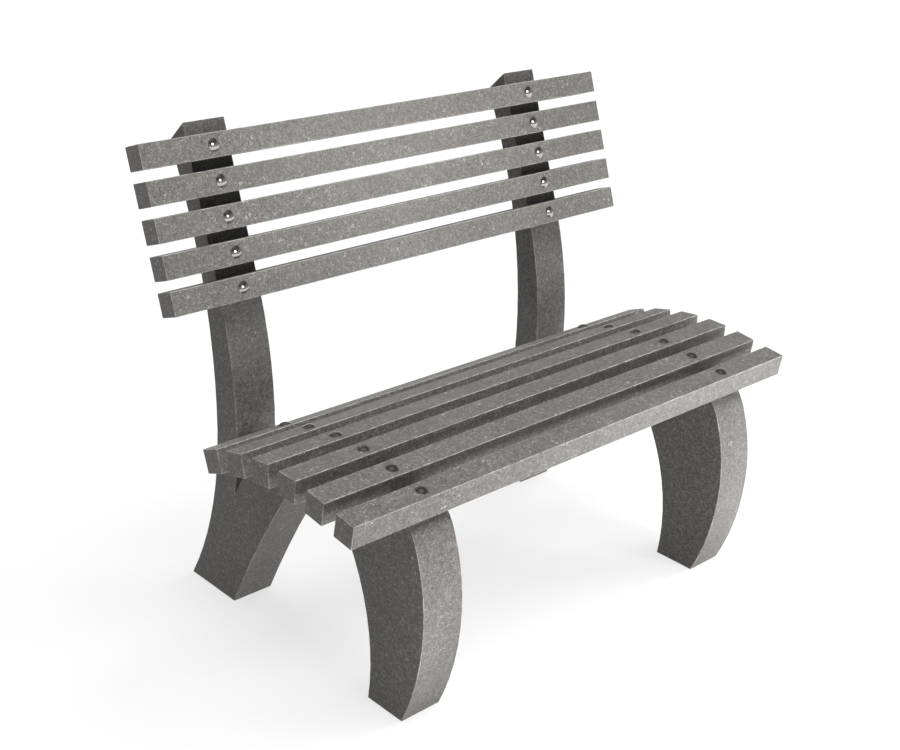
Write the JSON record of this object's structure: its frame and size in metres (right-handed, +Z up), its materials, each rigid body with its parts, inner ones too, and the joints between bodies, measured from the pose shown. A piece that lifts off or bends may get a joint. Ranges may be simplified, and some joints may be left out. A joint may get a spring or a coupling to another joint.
{
  "type": "garden bench",
  "caption": "Two-seat garden bench with a leaning backrest: square recycled-plastic slats bolted to two moulded side frames with arched legs.",
  "frame": {"origin": "on the ground under the middle of the bench's bounding box", "axes": "+X along the slats, -Y the way a sitter faces, +Z up"},
  "size_m": [1.213, 0.75, 0.961],
  "materials": {
    "frame_plastic": "moulded recycled plastic, dark grey with light flecks and dark specks, satin",
    "slat_plastic": "extruded recycled plastic, grey with light flecks and dark specks, satin",
    "polished_steel": "polished stainless steel",
    "zinc_steel": "zinc plated steel"
  },
  "bodies": {
    "root": {"side_frame_left": "frame_plastic", "side_frame_right": "frame_plastic", "back_slat_1": "slat_plastic", "back_slat_2": "slat_plastic", "back_slat_3": "slat_plastic", "back_slat_4": "slat_plastic", "back_slat_5": "slat_plastic", "seat_slat_1": "slat_plastic", "seat_slat_2": "slat_plastic", "seat_slat_3": "slat_plastic", "seat_slat_4": "slat_plastic", "seat_slat_5": "slat_plastic", "seat_slat_6": "slat_plastic", "back_bolt_left_1": "polished_steel", "back_washer_left_1": "zinc_steel", "back_nut_left_1": "zinc_steel", "back_bolt_left_2": "polished_steel", "back_washer_left_2": "zinc_steel", "back_nut_left_2": "zinc_steel", "back_bolt_left_3": "polished_steel", "back_washer_left_3": "zinc_steel", "back_nut_left_3": "zinc_steel", "back_bolt_left_4": "polished_steel", "back_washer_left_4": "zinc_steel", "back_nut_left_4": "zinc_steel", "back_bolt_left_5": "polished_steel", "back_washer_left_5": "zinc_steel", "back_nut_left_5": "zinc_steel", "seat_screw_left_1": "polished_steel", "seat_screw_left_2": "polished_steel", "seat_screw_left_3": "polished_steel", "seat_screw_left_4": "polished_steel", "seat_screw_left_5": "polished_steel", "seat_screw_left_6": "polished_steel", "back_bolt_right_1": "polished_steel", "back_washer_right_1": "zinc_steel", "back_nut_right_1": "zinc_steel", "back_bolt_right_2": "polished_steel", "back_washer_right_2": "zinc_steel", "back_nut_right_2": "zinc_steel", "back_bolt_right_3": "polished_steel", "back_washer_right_3": "zinc_steel", "back_nut_right_3": "zinc_steel", "back_bolt_right_4": "polished_steel", "back_washer_right_4": "zinc_steel", "back_nut_right_4": "zinc_steel", "back_bolt_right_5": "polished_steel", "back_washer_right_5": "zinc_steel", "back_nut_right_5": "zinc_steel", "seat_screw_right_1": "polished_steel", "seat_screw_right_2": "polished_steel", "seat_screw_right_3": "polished_steel", "seat_screw_right_4": "polished_steel", "seat_screw_right_5": "polished_steel", "seat_screw_right_6": "polished_steel"}
  },
  "joints": []
}
